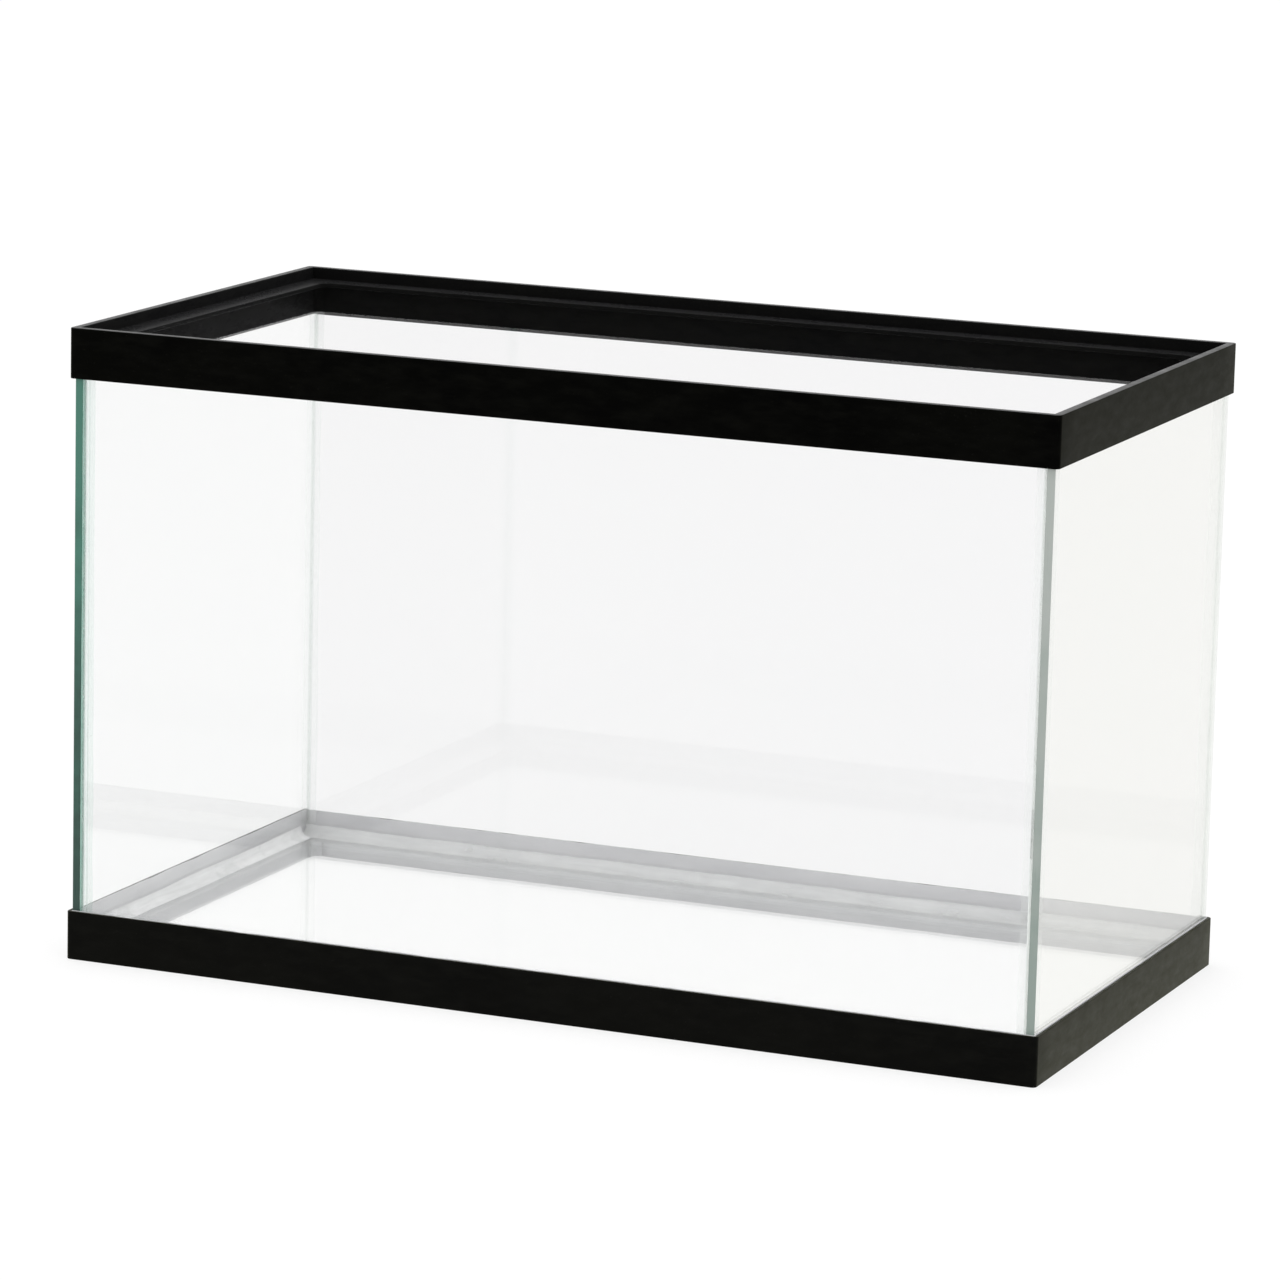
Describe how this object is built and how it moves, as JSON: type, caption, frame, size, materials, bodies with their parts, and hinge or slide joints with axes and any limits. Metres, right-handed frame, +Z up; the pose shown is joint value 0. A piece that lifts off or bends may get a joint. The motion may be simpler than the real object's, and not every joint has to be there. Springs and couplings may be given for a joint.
{
  "type": "aquarium tank",
  "caption": "Rectangular open-topped glass aquarium with black plastic frames round the base and the mouth.",
  "frame": {"origin": "centre of the footprint, at the level of the surface that the tank stands on", "axes": "+X along the length, to the right of someone facing the front; +Y to the rear; +Z up"},
  "size_m": [0.5144, 0.2666, 0.3191],
  "materials": {
    "frame_plastic": "satin black moulded plastic",
    "glass": "clear float glass with ground edges",
    "seal": "translucent silicone, tooled smooth",
    "bedding": "pale grey silicone, squeezed flat"
  },
  "bodies": {
    "root": {"bottom_frame": "frame_plastic", "top_frame": "frame_plastic", "bottom_frame_bedding": "bedding", "top_frame_bedding": "bedding", "front_pane": "glass", "rear_pane": "glass", "left_pane": "glass", "right_pane": "glass", "bottom_pane": "glass", "corner_joint_front_left": "seal", "corner_joint_front_right": "seal", "corner_joint_rear_left": "seal", "corner_joint_rear_right": "seal", "bottom_joint_front": "seal", "bottom_joint_rear": "seal", "bottom_joint_left": "seal", "bottom_joint_right": "seal", "corner_seal_front_left": "seal", "corner_seal_front_right": "seal", "corner_seal_rear_left": "seal", "corner_seal_rear_right": "seal", "bottom_seal_front": "seal", "bottom_seal_rear": "seal", "bottom_seal_left": "seal", "bottom_seal_right": "seal"}
  },
  "joints": []
}
